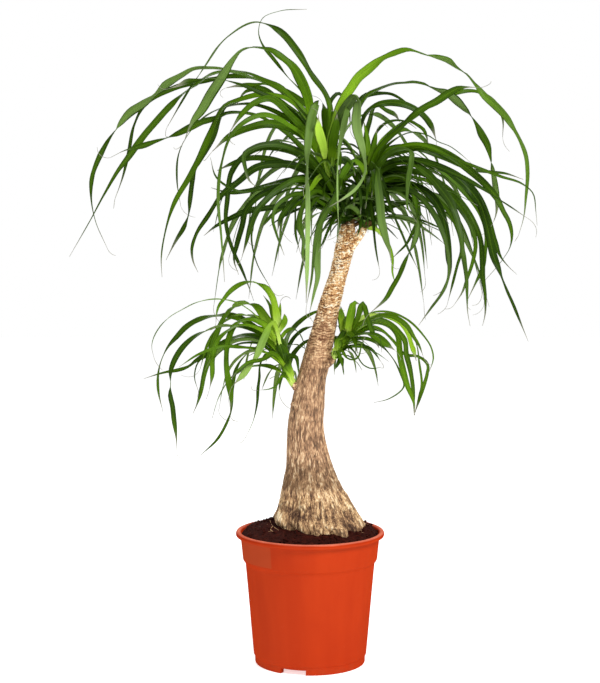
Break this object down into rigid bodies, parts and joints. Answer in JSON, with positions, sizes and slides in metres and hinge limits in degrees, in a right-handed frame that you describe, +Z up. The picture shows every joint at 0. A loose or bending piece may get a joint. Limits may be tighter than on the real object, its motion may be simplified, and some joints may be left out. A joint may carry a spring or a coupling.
{
  "type": "potted ponytail palm",
  "caption": "Potted ponytail palm: swollen furrowed trunk base, slim leaning stem, forked crown of long arching strap leaves and side shoots, in a round nursery pot.",
  "frame": {"origin": "middle of the pot's underside, on the surface it stands on", "axes": "+Z up through the plant, -Y towards the front of the picture, +X to the right of the picture"},
  "size_m": [0.6921, 0.4451, 0.9611],
  "materials": {
    "pot": "satin",
    "soil": "matte",
    "bark": "rough",
    "crown_leaves": "satin",
    "left_shoot_leaves": "satin",
    "right_shoot_leaves": "satin"
  },
  "bodies": {
    "root": {"pot": "pot", "soil": "soil", "trunk": "bark", "crown": "crown_leaves", "left_shoot": "left_shoot_leaves", "right_shoot": "right_shoot_leaves"}
  },
  "joints": []
}
